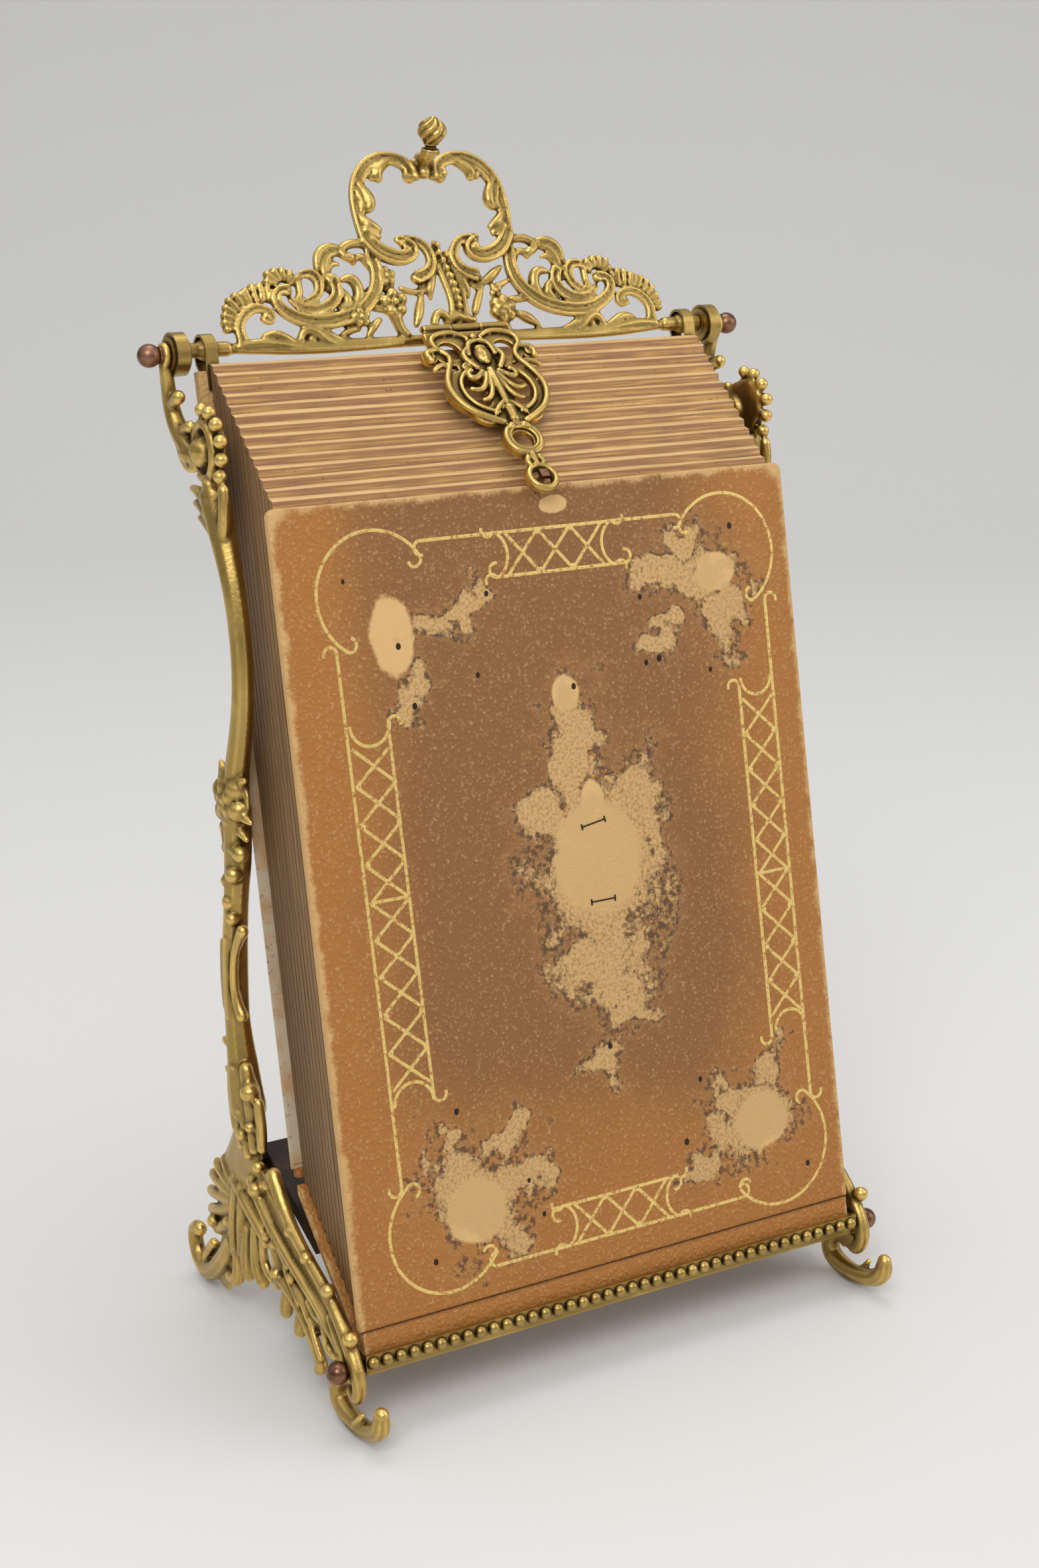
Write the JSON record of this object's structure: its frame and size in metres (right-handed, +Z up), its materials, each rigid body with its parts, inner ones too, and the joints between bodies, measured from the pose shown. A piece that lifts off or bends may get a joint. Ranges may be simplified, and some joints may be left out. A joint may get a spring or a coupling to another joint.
{
  "type": "photo album in stand",
  "caption": "Old leather photo album with gilt tooling, held upright in a cast brass display stand with scrolled feet, carrying handle and clasp.",
  "frame": {"origin": "centre of the bounding box in plan, on the table under the feet", "axes": "+Z up, -Y towards the front cover's viewer, +X to that viewer's right"},
  "size_m": [0.261, 0.1725, 0.4579],
  "materials": {
    "gilt_brass": "cast, gilt and rubbed, dark in the hollows",
    "brown_copper": "polished, browned",
    "cover_leather": "grained, tooled and worn",
    "gilt_leaves": "thick card with rubbed gilt edges",
    "aged_paper": "matt, stained and torn",
    "dark_board": "smooth, dark"
  },
  "bodies": {
    "stand": {"side_frame_left": "gilt_brass", "side_frame_right": "gilt_brass", "crest": "gilt_brass", "flame_finial": "gilt_brass", "top_screw_left": "brown_copper", "top_screw_right": "brown_copper", "disc_nut_left": "gilt_brass", "disc_nut_right": "gilt_brass", "front_rail": "gilt_brass", "rail_screw_left": "brown_copper", "rail_screw_right": "brown_copper", "rear_rail": "gilt_brass", "rest_board": "dark_board", "page_block": "gilt_leaves", "spine_strip": "cover_leather", "rear_cover": "cover_leather", "rear_lining": "aged_paper", "loose_card": "aged_paper", "hanger_left": "gilt_brass", "hanger_right": "gilt_brass", "hinge_plate": "gilt_brass", "hinge_pin": "gilt_brass"},
    "front_cover": {"front_cover": "cover_leather", "clasp_stud": "brown_copper"},
    "clasp": {"clasp": "gilt_brass"}
  },
  "joints": [
    {"name": "cover_fold", "type": "hinge", "parent": "stand", "child": "front_cover", "pos_m": [0, -0.06128, 0.03862], "axis": [1, 0, 0], "range_deg": [0, 107]},
    {"name": "clasp_swing", "type": "hinge", "parent": "stand", "child": "clasp", "pos_m": [0, 0.05371, 0.37998], "axis": [-1, 0, 0], "range_deg": [0, 135]}
  ]
}
